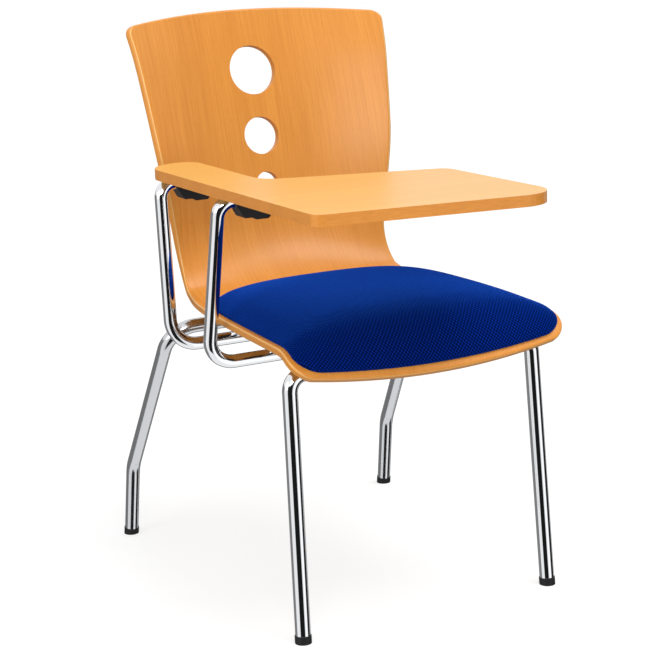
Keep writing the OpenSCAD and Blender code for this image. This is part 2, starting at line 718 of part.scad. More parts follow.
module seat_bolts() {
    under = frame_h - leg_od / 2 - washer_t - bolt_head_h;
    tip = seat_top_z - 2 * fit_gap;
    color(zinc) placed() for (p = seat_bolt_places) translate([p.x, p.y, under]) {
        cylinder(h = bolt_head_h, d = bolt_head_d);
        cylinder(h = tip - under, d = seat_bolt_d);
    }
}

module seat_bolt_washers() {
    color(zinc) placed() for (p = seat_bolt_places)
        translate([p.x, p.y, frame_h - leg_od / 2 - washer_t]) difference() {
            cylinder(h = washer_t, d = washer_d);
            translate([0, 0, -overrun]) cylinder(h = washer_t + 2 * overrun, d = bolt_hole_d);
        }
}

module seat_tee_nuts() {
    color(zinc) placed() for (p = seat_bolt_places) translate([p.x, p.y, seat_top_z]) difference() {
        union() {
            translate([0, 0, -tee_flange_t]) cylinder(h = tee_flange_t, d = tee_flange_d);
            translate([0, 0, -tee_flange_t - tee_barrel_l])
                cylinder(h = tee_barrel_l + tee_flange_t, d = tee_barrel_d);
        }
        translate([0, 0, -shell_t - overrun])
            cylinder(h = shell_t + 2 * overrun, d = seat_bolt_d + 2 * fit_gap);
    }
}

// Arm tube: under both rails, out past the seat, up, and in again under the tablet
module arm_tube(low_y, top_y) {
    color(chrome) placed() difference() {
        bent_tube([[arm_tail_x, low_y, arm_low_z], [arm_x, low_y, arm_low_z],
            [arm_x, top_y, arm_top_z], [stub_end_x, top_y, arm_top_z]],
            [0, arm_low_r, arm_top_r, 0], arm_od);
        for (x = [outer_boss_x, inner_boss_x])
            translate([x, top_y, arm_top_z])
                cylinder(h = 2 * arm_od, d = screw_hole_d, center = true);
    }
}

module arm_tube_front() {
    arm_tube(front_arm_y, front_stub_y);
}

module arm_tube_rear() {
    arm_tube(rear_arm_y, rear_stub_y);
}

module arm_tube_plugs() {
    color(black) placed() for (y = [front_arm_y, rear_arm_y])
        translate([arm_tail_x, y, arm_low_z]) rotate([0, 90, 0]) {
            cylinder(h = plug_disc_t, d = arm_od);
            translate([0, 0, -plug_l])
                cylinder(h = plug_l + plug_disc_t, d = arm_od - 2 * tube_wall - 2 * fit_gap);
        }
}

module tablet_board() {
    color(beech_pale) placed() difference() {
        translate([0, 0, tablet_under_z]) linear_extrude(tablet_t) polygon(tablet_outline);
        for (p = bracket_screw_places)
            translate([p.x, p.y, tablet_under_z - overrun])
                cylinder(h = insert_l + overrun + fit_gap, d = insert_d + 2 * fit_gap);
    }
}

module tablet_inserts() {
    color(brass) placed() for (p = bracket_screw_places)
        translate([p.x, p.y, tablet_under_z]) difference() {
            cylinder(h = insert_l, d = insert_d);
            translate([0, 0, -overrun])
                cylinder(h = insert_l + 2 * overrun, d = tablet_screw_d + 2 * fit_gap);
        }
}

// Black bracket under the tablet: a channel for the stub and a boss round each screw
module bracket(y) {
    mid_x = (bracket_outer_x + bracket_inner_x) / 2;
    steps = bracket_step_shares * bracket_l;
    side = filleted([[0, 0], [0, -bracket_nose_d], [steps[0], -outer_boss_d],
        [steps[1], -outer_boss_d], [steps[2], -bracket_d], [steps[3], -bracket_d],
        [bracket_l, -bracket_d * bracket_end_share], [bracket_l, 0]],
        [bracket_edge_r / 4, bracket_edge_r, bracket_edge_r, bracket_edge_r / 2,
        bracket_edge_r / 2, bracket_edge_r, bracket_edge_r, bracket_edge_r / 4]);
    plan = filleted([[-bracket_l, -bracket_w] / 2, [bracket_l, -bracket_w] / 2,
        [bracket_l, bracket_w] / 2, [-bracket_l, bracket_w] / 2],
        [bracket_edge_r, bracket_end_r, bracket_end_r, bracket_edge_r]);
    color(black) placed() difference() {
        intersection() {
            translate([bracket_outer_x, y, tablet_under_z]) rotate([90, 0, 0])
                linear_extrude(2 * bracket_w, center = true) polygon(side);
            translate([mid_x, y, tablet_under_z - bracket_d])
                linear_extrude(bracket_d) polygon(plan);
        }
        bar([bracket_outer_x - overrun, y, arm_top_z],
            [stub_end_x + soft_gap, y, arm_top_z], bracket_channel_d);
        translate([bracket_outer_x - overrun, y - bracket_channel_d / 2, arm_top_z])
            cube([stub_end_x + soft_gap + overrun - bracket_outer_x, bracket_channel_d,
                arm_od / 2 + fit_gap + overrun]);
        for (p = bracket_screw_places) if (p.y == y) {
            translate([p.x, y, tablet_under_z - p.z - overrun])
                cylinder(h = p.z + 2 * overrun, d = screw_hole_d);
            translate([p.x, y, tablet_under_z - p.z - overrun])
                cylinder(h = screw_recess + overrun, d = screw_head_d + 2 * fit_gap);
        }
    }
}

module bracket_front() {
    bracket(front_stub_y);
}

module bracket_rear() {
    bracket(rear_stub_y);
}

module bracket_screws() {
    color(zinc) placed() for (p = bracket_screw_places)
        translate([p.x, p.y, tablet_under_z - p.z + screw_recess - screw_head_h]) {
            cylinder(h = screw_head_h, d = screw_head_d);
            cylinder(h = p.z - screw_recess + screw_head_h + screw_grip, d = tablet_screw_d);
        }
}

// Foot cap on the end of a leg, cut flat where it stands
module foot(leg) {
    at = leg[0];
    dir = leg[1];
    plug_od = leg_od - 2 * tube_wall - 2 * fit_gap;
    color(black) placed() difference() {
        union() {
            difference() {
                bar(at - dir * foot_od, at + dir * foot_h, foot_od);
                bar(at + dir * foot_sole, at + dir * (foot_h + overrun), leg_od + 2 * fit_gap);
            }
            bar(at, at + dir * (foot_sole + foot_plug_l), plug_od);
        }
        translate([at.x - foot_od, at.y - foot_od, -2 * foot_od])
            cube([2 * foot_od, 2 * foot_od, 2 * foot_od]);
    }
}

module foot_front_right() {
    foot(front_right_leg);
}

module foot_front_left() {
    foot([mirrored(front_right_leg[0]), mirrored(front_right_leg[1])]);
}

module foot_rear_right() {
    foot(rear_right_leg);
}

module foot_rear_left() {
    foot([mirrored(rear_right_leg[0]), mirrored(rear_right_leg[1])]);
}

seat_shell();
cushion_base();
cushion_foam();
cushion_cover();
cushion_screws();
front_leg_tube();
rear_leg_tube();
rail_right();
rail_left();
seat_spacers();
seat_bolts();
seat_bolt_washers();
seat_tee_nuts();
arm_tube_front();
arm_tube_rear();
arm_tube_plugs();
tablet_board();
tablet_inserts();
bracket_front();
bracket_rear();
bracket_screws();
foot_front_right();
foot_front_left();
foot_rear_right();
foot_rear_left();
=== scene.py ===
"""Looks of a tablet arm chair: plywood shell, mesh-covered cushion, chromed tubes and a writing
tablet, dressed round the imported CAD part. Shape sizes are in millimetres, places in metres."""

import math

import bmesh
import bpy
from mathutils import Matrix, Vector
from mathutils.bvhtree import BVHTree
from mathutils.interpolate import poly_3d_calc


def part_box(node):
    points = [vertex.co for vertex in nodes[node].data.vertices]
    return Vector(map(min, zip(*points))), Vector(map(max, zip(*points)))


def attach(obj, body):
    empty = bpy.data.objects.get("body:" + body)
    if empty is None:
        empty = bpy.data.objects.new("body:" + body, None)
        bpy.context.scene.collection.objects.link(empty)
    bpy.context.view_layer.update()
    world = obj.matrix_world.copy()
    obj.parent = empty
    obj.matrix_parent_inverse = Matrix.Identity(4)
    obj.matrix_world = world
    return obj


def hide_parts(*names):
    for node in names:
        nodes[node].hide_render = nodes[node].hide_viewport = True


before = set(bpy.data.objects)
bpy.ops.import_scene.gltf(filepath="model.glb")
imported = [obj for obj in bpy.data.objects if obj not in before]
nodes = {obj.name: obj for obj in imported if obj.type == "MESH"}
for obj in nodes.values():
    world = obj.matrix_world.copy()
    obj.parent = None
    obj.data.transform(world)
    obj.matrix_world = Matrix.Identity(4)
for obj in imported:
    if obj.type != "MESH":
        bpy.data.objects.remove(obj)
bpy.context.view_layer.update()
scene = bpy.context.scene
MM = 0.001

# Camera, fitted to the photograph: focal length in pixels, place round the chair, tilt, and how
# far the front cross tube lies ahead of the point that the camera circles, in metres
IMAGE_SIZE = 664
SENSOR_WIDTH = 36
FOCAL_PIXELS = 1800.484
CAMERA_AZIMUTH = -27.6544
CAMERA_DISTANCE = 2.67807
CAMERA_HEIGHT = 1.00946
CAMERA_PITCH = 13.48093
CAMERA_YAW = 0.16512
CAMERA_ROLL = -1.98018
FITTED_CROSS_AHEAD = 0.232

# Sizes shared with the part's source
LEG_OD = 22
SEAT_TOP_Z = 423
SHELL_T = 12
SHELL_EDGE_R = 4
SEAT_FRONT_W = 447
SEAT_W = 405
WAIST_W = 364
BACK_W = 408
TOP_W = 443
SEAT_OVERHANG = 6
LIP_L = 23
LIP_ANGLE = 53
ROLL_R = 75
SEAT_FLAT_L = 325
BEND_R = 130
BACK_ANGLE = 78.2
BACK_STRAIGHT_L = 116
BACK_UPPER_L = 212
BACK_UPPER_ANGLE = 5.6
BEND_DISH_D = 46.5
DISH_D = 63
TOP_DISH_D = 51
FRONT_BOW = 23
TOP_BOW = 30
FRONT_CORNER_W = 32
FRONT_CORNER_L = 50
TOP_CORNER_R = 18
HOLES = ((79, 100), (60, 206), (39, 284))
HOLE_TOP_DROP = HOLES[0][1]
HOLE_MID_DROP = HOLES[1][1]
CUSHION_RIM = 7.5
CUSHION_FRONT_RIM = 12
CUSHION_L = 440
CUSHION_EDGE_H = 9
CUSHION_CROWN_H = 31
CUSHION_ROLL = 38
CUSHION_FRONT_RISE_L = 110
CUSHION_BOW = 37
CUSHION_FRONT_W = 36
CUSHION_REAR_W = 134
CUSHION_REAR_L = 67
SOFT_GAP = 0.5
EDGE_WALL_SHARE = 0.35
CROWN_SIDE_POWER = 3.6
CROWN_END_POWER = 2.7
SIDE_SHARE = 0.81
WAIST_SHARE = 0.44
DISH_SHARE = 0.3
BOW_CORNERS = 3

# How finely the scene's own forms are divided
EDGE_STEPS = 5
CORNER_STEPS = 14
SHELL_LIP_ROWS = 12
SHELL_SEAT_ROWS = 24
SHELL_BEND_ROWS = 40
SHELL_BACK_ROWS = 40
SHELL_MIDDLES = 44
CLOSEST_ROWS = 0.02
HOLE_SIDES = 72
DRILL_DEPTHS = 8
CUSHION_FRONT_STEPS = 12
CUSHION_REAR_STEPS = 14
CUSHION_ROWS = 46
CUSHION_ROLL_STEPS = 7
CUSHION_MIDDLES = 34

# Edges whose faces meet at more than these angles, in degrees, stay sharp or are rounded
SHELL_SHARP_ANGLE = 38
CUSHION_SHARP_ANGLE = 60
CAD_SHARP_ANGLE = 30
BEVEL_ANGLE = 50

# Rounded edges of CAD nodes, in metres, and how level a face of the tablet's top or underside is
TABLET_BEVEL = 0.0022
TABLET_BEVEL_STEPS = 4
FOOT_BEVEL = 0.0008
# Faces less level than this count as the tablet's sides and get the edge colour with its painted
# shade
LEVEL_NORMAL_Z = 0.5

# Colours, linear: mostly of the real materials; the shell rim's colour is a painted highlight, the
# tablet edge's colours carry painted shade besides the edge grain, and the pits' colour is painted
# shade
BEECH = (0.92, 0.385, 0.062)
BEECH_DARK = (0.67, 0.225, 0.021)
BEECH_PALE = (0.96, 0.55, 0.140)
BEECH_PALE_DARK = (0.88, 0.43, 0.105)
BEECH_EDGE = (0.86, 0.37, 0.050)
BEECH_EDGE_DARK = (0.68, 0.24, 0.028)
# Painted highlight on the shell's rounded rim, near the sitter's face
BEECH_RIM_HIGHLIGHT = (1.0, 0.72, 0.30)
# Tablet sides: darker partly for the edge grain and partly as painted shade on the sides
TABLET_EDGE_GRAIN_AND_SHADE = (0.84, 0.345, 0.057)
TABLET_EDGE_DARK_GRAIN_AND_SHADE = (0.66, 0.225, 0.028)
CLOTH = (0.0018, 0.028, 0.310)
# Pits' colour: painted shade inside the mesh's holes
CLOTH_PIT_SHADE = (0.0001, 0.0006, 0.006)
CHROME = (0.80, 0.81, 0.83)
SATIN_CHROME = (0.62, 0.63, 0.65)
ZINC = (0.46, 0.47, 0.48)
BLACK = (0.012, 0.012, 0.013)


# The shell's middle line in the YZ plane, in runs of a length and the angle it turns through
ROLL_L = ROLL_R * math.radians(LIP_ANGLE)
BEND_L = BEND_R * math.radians(BACK_ANGLE)
RUNS = ((LIP_L, 0), (ROLL_L, -LIP_ANGLE), (SEAT_FLAT_L, 0), (BEND_L, BACK_ANGLE),
        (BACK_STRAIGHT_L, 0), (BACK_UPPER_L, -BACK_UPPER_ANGLE))
FLAT_AT = LIP_L + ROLL_L
BEND_AT = FLAT_AT + SEAT_FLAT_L
BACK_AT = BEND_AT + BEND_L
TOP_AT = BACK_AT + BACK_STRAIGHT_L + BACK_UPPER_L
FRONT_CROSS_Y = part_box("front_leg_tube")[1].y / MM - LEG_OD / 2


def advance(length, turn, heading):
    """Step along an arc that turns through an angle, in degrees."""
    half = math.radians(turn / 2)
    chord = length if turn == 0 else length * math.sin(half) / half
    middle = math.radians(heading + turn / 2)
    return chord * math.cos(middle), chord * math.sin(middle)


def walk(s):
    """Place and heading after s along the runs, from the front edge."""
    y, z, heading = 0.0, 0.0, float(LIP_ANGLE)
    for length, turn in RUNS:
        if s <= length or (length, turn) == RUNS[-1]:
            step = advance(s, turn * s / length, heading)
            return y + step[0], z + step[1], heading + turn * s / length
        step = advance(length, turn, heading)
        y, z, heading, s = y + step[0], z + step[1], heading + turn, s - length
    return y, z, heading


FLAT_START = walk(FLAT_AT)


def path(s):
    y, z, heading = walk(s)
    return y - FLAT_START[0] + FRONT_CROSS_Y - SEAT_OVERHANG, z - FLAT_START[1] + SEAT_TOP_Z, heading


def smooth(table, s):
    """Value at s through a table of places and values, with no overshoot."""
    i = 0
    while i < len(table) - 2 and s > table[i + 1][0]:
        i += 1
    slopes = [(b[1] - a[1]) / (b[0] - a[0]) for a, b in zip(table, table[1:])]

    def tangent(j):
        if j in (0, len(slopes)):
            return slopes[max(0, j - 1)]
        before, after = slopes[j - 1], slopes[j]
        return 0 if before * after <= 0 else 2 * before * after / (before + after)

    (x0, y0), (x1, y1) = table[i], table[i + 1]
    run = x1 - x0
    u = min(1, max(0, (s - x0) / run))
    v = 1 - u
    return (y0 * (1 + 2 * u) * v * v + tangent(i) * run * u * v * v
            + y1 * u * u * (3 - 2 * u) - tangent(i + 1) * run * u * u * v)


WIDTHS = ((0, SEAT_FRONT_W / 2), (FLAT_AT + SEAT_FLAT_L * SIDE_SHARE, SEAT_W / 2),
          (BACK_AT - BEND_L * WAIST_SHARE, WAIST_W / 2), (TOP_AT - HOLE_MID_DROP, BACK_W / 2),
          (TOP_AT, TOP_W / 2))
DISH_FROM = BEND_AT + BEND_L * DISH_SHARE
DISHES = ((DISH_FROM, 0), (BACK_AT, BEND_DISH_D), (TOP_AT - HOLE_MID_DROP, DISH_D),
          (TOP_AT - HOLE_TOP_DROP, DISH_D), (TOP_AT, TOP_DISH_D))


def half_width(s):
    return smooth(WIDTHS, s)


def dish(s):
    return 0 if s < DISH_FROM else smooth(DISHES, s)


def bow(s):
    """How far a row bows forward in its middle near the front edge, and up near the top."""
    front = max(0, 1 - s / (BOW_CORNERS * FRONT_CORNER_L))
    top = max(0, 1 - (TOP_AT - s) / BACK_UPPER_L)
    return FRONT_BOW * front ** 2 - TOP_BOW * top ** 2


def on_shell(s, x, up):
    """Point at a height above the sitter's face, on the row at s and at x across, in metres."""
    w = half_width(s)
    k = x / w
    bowed = s + bow(s) * k * k
    y, z, heading = path(bowed)
    depth = dish(bowed)
    lean = 2 * depth * k / w
    size = math.sqrt(1 + lean * lean)
    rise = depth * k * k + up / size
    turn = math.radians(heading)
    return Vector((x - up * lean / size, y - math.sin(turn) * rise, z + math.cos(turn) * rise)) * MM


def quarter(steps):
    """Places between 0 and 1, close together near 0."""
    return [1 - math.cos(math.pi / 2 * i / steps) for i in range(steps + 1)]


def between(a, b, steps):
    return [a + (b - a) * i / steps for i in range(1, steps + 1)]


def rounded_off(share):
    """Drop of a quarter circle at a share of the way in from its edge."""
    share = min(1, max(0, share))
    return 1 - math.sqrt(1 - (1 - share) ** 2)


def across(w, edges, middles):
    """Places across a row of half width w: one edge's distances, an even middle, the other's."""
    inner = w - edges[-1]
    return ([q - w for q in edges] + [inner * (2 * i / middles - 1) for i in range(1, middles)]
            + [w - q for q in reversed(edges)])


def loft(name, rings, sheet):
    """Closed skin over rings of equal length. Each ring is an upper chain and then the lower
    chain back; sheet gives the two texture places and the depth of each point."""
    count = len(rings[0])
    mesh = bpy.data.meshes.new(name)
    faces = []
    for i in range(len(rings) - 1):
        for j in range(count):
            a, b = i * count + j, i * count + (j + 1) % count
            faces.append((a, a + count, b + count, b))
    for start, flip in ((0, False), ((len(rings) - 1) * count, True)):
        for j in range(count // 2 - 1):
            face = (start + j, start + j + 1, start + count - 2 - j, start + count - 1 - j)
            faces.append(tuple(reversed(face)) if flip else face)
    mesh.from_pydata([p for ring in rings for p in ring], [], faces)
    flat = [p for ring in sheet for p in ring]
    for layer_name, pick in (("sheet", (0, 1)), ("depth", (2, 0))):
        layer = mesh.uv_layers.new(name=layer_name)
        for loop in mesh.loops:
            place = flat[loop.vertex_index]
            layer.data[loop.index].uv = (place[pick[0]], place[pick[1]])
    mesh.validate()
    piece = bpy.data.objects.new(name, mesh)
    scene.collection.objects.link(piece)
    return piece


# Shader helpers
class Shader:
    """A node material under construction."""

    def __init__(self, name, **values):
        self.material = bpy.data.materials.new(name)
        self.material.use_nodes = True
        self.tree = self.material.node_tree
        self.bsdf = self.tree.nodes["Principled BSDF"]
        for key, value in values.items():
            self.bsdf.inputs[key.replace("_", " ")].default_value = value

    def node(self, kind, settings=None, **inputs):
        made = self.tree.nodes.new(kind)
        for key, value in (settings or {}).items():
            setattr(made, key, value)
        for key, value in inputs.items():
            slot = made.inputs[int(key[1:]) if key[0] == "i" and key[1:].isdigit()
                               else key.replace("_", " ")]
            if isinstance(value, bpy.types.NodeSocket):
                self.tree.links.new(value, slot)
            else:
                slot.default_value = value
        return made

    def math(self, operation, a, b=0.0):
        return self.node("ShaderNodeMath", {"operation": operation}, i0=a, i1=b).outputs[0]

    def vector(self, operation, a, b=(0, 0, 0)):
        return self.node("ShaderNodeVectorMath", {"operation": operation}, i0=a, i1=b)

    def scaled(self, place, scale):
        return self.vector("MULTIPLY", place, scale).outputs[0]

    def uv(self, layer):
        return self.node("ShaderNodeUVMap", {"uv_map": layer}).outputs[0]

    def coordinates(self):
        return self.node("ShaderNodeTexCoord").outputs["Object"]

    def noise(self, place, scale=1.0, detail=3.0, roughness=0.55):
        return self.node("ShaderNodeTexNoise", Vector=place, Scale=scale, Detail=detail,
                         Roughness=roughness).outputs[0]

    def ramp(self, value, low, high):
        return self.node("ShaderNodeMapRange", {"clamp": True}, Value=value, From_Min=low,
                         From_Max=high).outputs[0]

    def mix(self, share, a, b):
        made = self.node("ShaderNodeMix", {"data_type": "RGBA"}, i0=share)
        for index, value in ((6, a), (7, b)):
            if isinstance(value, bpy.types.NodeSocket):
                self.tree.links.new(value, made.inputs[index])
            else:
                made.inputs[index].default_value = (*value, 1)
        return made.outputs[2]

    def link(self, value, socket):
        self.tree.links.new(value, self.bsdf.inputs[socket])

    def bump(self, height, distance, strength=1.0):
        self.link(self.node("ShaderNodeBump", Strength=strength, Distance=distance,
                            Height=height).outputs[0], "Normal")


# Veneer figure: marks to the metre across, along and through the sheet, the noise values that a
# mark fades in between, its share of the tone, and the relief and the warp's reach in metres
WARP_SCALE = (4, 1.2, 4)
WARP_REACH = (0.03, 0, 0)
BAND_SCALE = (26, 0.9, 26)
BAND_SPAN = (0.3, 0.7)
BAND_SHARE = 0.3
STREAK_SCALE = (420, 6, 420)
STREAK_SPAN = (0.25, 0.75)
STREAK_SHARE = 0.7
FLECK_SCALE = (1000, 60, 1000)
FLECK_SPAN = (0.62, 0.72)
WOOD_RELIEF = 0.00004


def wood(name, place_of, light, dark, fleck_share, roughness):
    """Beech veneer: fine streaks and short dark flecks that run along the second coordinate."""
    shader = Shader(name, Roughness=roughness, Specular_IOR_Level=0.4, Coat_Weight=0.1,
                    Coat_Roughness=0.25)
    place = place_of(shader)
    warp = shader.noise(shader.scaled(place, WARP_SCALE), detail=2.0)
    bent = shader.vector("ADD", place, shader.scaled(shader.node(
        "ShaderNodeCombineXYZ", X=warp).outputs[0], WARP_REACH)).outputs[0]
    bands = shader.noise(shader.scaled(bent, BAND_SCALE))
    streaks = shader.noise(shader.scaled(bent, STREAK_SCALE), detail=4.0, roughness=0.7)
    flecks = shader.noise(shader.scaled(bent, FLECK_SCALE), detail=2.0)
    tone = shader.math("ADD", shader.math("MULTIPLY", shader.ramp(bands, *BAND_SPAN), BAND_SHARE),
                       shader.math("MULTIPLY", shader.ramp(streaks, *STREAK_SPAN), STREAK_SHARE))
    colour = shader.mix(tone, dark, light)
    fleck = shader.math("MULTIPLY", shader.ramp(flecks, *FLECK_SPAN), fleck_share)
    shader.link(shader.mix(fleck, colour, dark), "Base Color")
    shader.bump(shader.math("ADD", streaks, flecks), WOOD_RELIEF, strength=0.6)
    return shader.material


def object_place(order):
    """Texture place from object coordinates, with the axes in the order given."""
    def place_of(shader):
        split = shader.node("ShaderNodeSeparateXYZ", Vector=shader.coordinates()).outputs
        return shader.node("ShaderNodeCombineXYZ", X=split[order[0]], Y=split[order[1]],
                           Z=split[order[2]]).outputs[0]
    return place_of


# Sawn edge: a painted highlight along its rounded rim fades out between two depths, in millimetres,
# and the plies show as glue lines and end grain. Scales, spans, shares and relief are as for the
# veneer.
RIM_HIGHLIGHT_FROM = 1.4
RIM_HIGHLIGHT_TO = 2.2
RIM_HIGHLIGHT_SHARE = 0.6
SHELL_PLIES = 9
GLUE_SHARE = 0.14
CROSS_PLY_SPAN = (0.9, 1.1)
CROSS_PLY_SHARE = 0.35
EDGE_GRAIN_SCALE = (420, 420, 420)
EDGE_GRAIN_SPAN = (0.25, 0.75)
EDGE_GRAIN_SHARE = 0.5
EDGE_RELIEF = 0.00006


def ply_edge_with_rim_highlight(name, depth_of, plies, thickness, light, dark):
    """Sawn plywood edge: thin layers, every second one end grain, under clear lacquer, and a
    painted highlight along the rounded rim where the sitter's face begins."""
    shader = Shader(name, Roughness=0.36, Specular_IOR_Level=0.5)
    depth = depth_of(shader)
    layer = shader.math("MULTIPLY", depth, plies / thickness)
    glue = shader.ramp(shader.math("PINGPONG", layer, 1.0), 0.0, GLUE_SHARE)
    side = shader.ramp(shader.math("PINGPONG", layer, 2.0), *CROSS_PLY_SPAN)
    grain = shader.noise(shader.scaled(shader.coordinates(), EDGE_GRAIN_SCALE))
    tone = shader.math("MULTIPLY", shader.ramp(grain, *EDGE_GRAIN_SPAN), EDGE_GRAIN_SHARE)
    colour = shader.mix(shader.math("ADD", tone, shader.math("MULTIPLY", side, CROSS_PLY_SHARE)),
                        dark, light)
    # The pale rim near the sitter's face is a painted highlight on the rounded edge
    rim_highlight = shader.math("MULTIPLY", shader.ramp(depth, RIM_HIGHLIGHT_TO * MM, RIM_HIGHLIGHT_FROM * MM), RIM_HIGHLIGHT_SHARE)
    shader.link(shader.mix(rim_highlight, shader.mix(glue, dark, colour), BEECH_RIM_HIGHLIGHT), "Base Color")
    shader.bump(grain, EDGE_RELIEF, strength=0.5)
    return shader.material


# Mesh cloth: distance between the pits of a row in metres, the share of it from a pit's middle at
# which its rim begins and ends, the yarn's marks to the metre, and the relief in metres
WEAVE_PITCH = 0.0058
PIT_SPAN = (0.19, 0.42)
YARN_SCALE = (1400, 700, 0)
FACE_SHARE = 0.8
CLOTH_RELIEF = 0.0006


def cloth_material():
    """Royal blue spacer mesh: a diagonal lattice of small pits in a knitted face, the pits painted
    dark as the shade inside them.
    """
    shader = Shader("cover_mesh", Roughness=0.8, Specular_IOR_Level=0.0, Sheen_Weight=0.85,
                    Sheen_Roughness=0.4, Sheen_Tint=(0.022, 0.15, 0.95, 1))
    cells = shader.scaled(shader.uv("weave"), (1 / WEAVE_PITCH, 1 / WEAVE_PITCH, 0))
    distances = []
    for offset in ((0, 0, 0), (0.5, 0.5, 0)):
        moved = shader.vector("ADD", cells, offset).outputs[0]
        local = shader.vector("SUBTRACT", shader.vector("FRACTION", moved).outputs[0],
                              (0.5, 0.5, 0)).outputs[0]
        distances.append(shader.vector("LENGTH", local).outputs["Value"])
    nearest = shader.math("MINIMUM", *distances)
    face = shader.ramp(nearest, *PIT_SPAN)
    yarn = shader.noise(shader.scaled(shader.uv("weave"), YARN_SCALE), detail=2.0)
    lively = shader.math("ADD", shader.math("MULTIPLY", face, FACE_SHARE),
                         shader.math("MULTIPLY", yarn, 1 - FACE_SHARE))
    # The pits are painted near black: painted shade inside the mesh's holes
    shader.link(shader.mix(lively, CLOTH_PIT_SHADE, CLOTH), "Base Color")
    shader.bump(lively, CLOTH_RELIEF, strength=0.8)
    return shader.material


# Plain surfaces: marks to the metre, how far the roughness and the tone stray, and the relief in
# metres
POLISH_SCALE = 90.0
POLISH_SPREAD = (0.75, 1.3)
PLATING_SCALE = 700.0
SPECK_SCALE = 1500.0
SPECK_SPREAD = (0.85, 1.15)
SPECK_LIGHTER = 1.7
SPECK_RELIEF = 0.00006
ZINC_RELIEF = 0.00003


def rough_between(shader, value, roughness, spread):
    """Lets the roughness stray between two shares of its middle value."""
    low, high = spread
    shader.link(shader.node("ShaderNodeMapRange", Value=value, To_Min=roughness * low,
                            To_Max=roughness * high).outputs[0], "Roughness")


def metal(name, colour, roughness, bump=0.0):
    """Plated or bare metal whose polish varies a little over the surface."""
    shader = Shader(name, Metallic=1.0, Base_Color=(*colour, 1))
    rough_between(shader, shader.noise(shader.coordinates(), POLISH_SCALE), roughness,
                  POLISH_SPREAD)
    if bump:
        shader.bump(shader.noise(shader.coordinates(), PLATING_SCALE, detail=2.0), bump,
                    strength=0.4)
    return shader.material


def moulded(name, colour, roughness):
    """Moulded or painted black surface with a fine texture."""
    shader = Shader(name, Specular_IOR_Level=0.25)
    speck = shader.noise(shader.coordinates(), SPECK_SCALE, detail=2.0)
    lighter = tuple(c * SPECK_LIGHTER for c in colour)
    shader.link(shader.mix(speck, colour, lighter), "Base Color")
    rough_between(shader, speck, roughness, SPECK_SPREAD)
    shader.bump(speck, SPECK_RELIEF, strength=0.5)
    return shader.material


def dress(name, material, bevel=0.0, segments=2):
    """Gives a CAD node its material, smooth shading, and a softened edge where asked."""
    piece = nodes[name]
    piece.data.materials.clear()
    piece.data.materials.append(material)
    for polygon in piece.data.polygons:
        polygon.use_smooth = True
        polygon.material_index = 0
    if bevel:
        soften = piece.modifiers.new("soft_edges", "BEVEL")
        soften.width = bevel
        soften.segments = segments
        soften.limit_method = "ANGLE"
        soften.angle_limit = math.radians(BEVEL_ANGLE)
    sharp_by_angle(piece, CAD_SHARP_ANGLE)
    return piece


def sharp_by_angle(piece, angle):
    """Marks edges sharp where their faces meet at more than an angle."""
    mesh = piece.data
    work = bmesh.new()
    work.from_mesh(mesh)
    limit = math.radians(angle)
    for edge in work.edges:
        edge.smooth = len(edge.link_faces) == 2 and edge.calc_face_angle(0) < limit
    for face in work.faces:
        face.smooth = True
    places = [v.co.copy() for v in work.verts]
    work.to_mesh(mesh)
    work.free()
    assert all((a.co - b).length == 0 for a, b in zip(mesh.vertices, places))


def apply_modifiers(piece):
    depsgraph = bpy.context.evaluated_depsgraph_get()
    made = bpy.data.meshes.new_from_object(piece.evaluated_get(depsgraph))
    piece.modifiers.clear()
    piece.data = made


# Plywood shell
def shell_half_width(s):
    return (half_width(s) - FRONT_CORNER_W * rounded_off(s / FRONT_CORNER_L)
            - TOP_CORNER_R * rounded_off((TOP_AT - s) / TOP_CORNER_R))


def make_shell():
    corner = quarter(CORNER_STEPS)
    edge = [q * SHELL_EDGE_R for q in quarter(EDGE_STEPS)]
    rows = sorted(set([round(q, 6) for q in edge] + [q * FRONT_CORNER_L for q in corner]
                      + between(FRONT_CORNER_L, FLAT_AT, SHELL_LIP_ROWS)
                      + between(FLAT_AT, BEND_AT, SHELL_SEAT_ROWS)
                      + between(BEND_AT, BACK_AT, SHELL_BEND_ROWS)
                      + between(BACK_AT, TOP_AT - TOP_CORNER_R, SHELL_BACK_ROWS)
                      + [TOP_AT - q * TOP_CORNER_R for q in corner]
                      + [TOP_AT - q for q in edge]))
    rows = [s for i, s in enumerate(rows) if i == 0 or s - rows[i - 1] > CLOSEST_ROWS]
    rings, sheets = [], []
    for s in rows:
        w = shell_half_width(s)
        end_share = min(s, TOP_AT - s) / SHELL_EDGE_R
        xs = across(w, edge, SHELL_MIDDLES)
        drops = [SHELL_EDGE_R * rounded_off(min(end_share, (w - abs(x)) / SHELL_EDGE_R))
                 for x in xs]
        upper = list(zip(xs, drops))
        lower = [(x, SHELL_T - d) for x, d in reversed(upper)]
        rings.append([on_shell(s, x, -down) for x, down in upper + lower])
        sheets.append([(x * MM, s * MM, down * MM) for x, down in upper + lower])
    shell = loft("plywood_shell", rings, sheets)
    drills = []
    for diameter, drop in HOLES:
        y, z, heading = path(TOP_AT - drop)
        bpy.ops.mesh.primitive_cylinder_add(vertices=HOLE_SIDES, radius=diameter / 2 * MM,
                                            depth=DRILL_DEPTHS * SHELL_T * MM)
        drill = bpy.context.object
        drill.matrix_world = (Matrix.Translation(Vector((0, y, z)) * MM)
                              @ Matrix.Rotation(math.radians(heading), 4, "X"))
        drills.append(drill)
        cut = shell.modifiers.new("hole", "BOOLEAN")
        cut.object = drill
        cut.solver = "EXACT"
    bpy.context.view_layer.update()
    apply_modifiers(shell)
    for drill in drills:
        bpy.data.objects.remove(drill)
    return shell


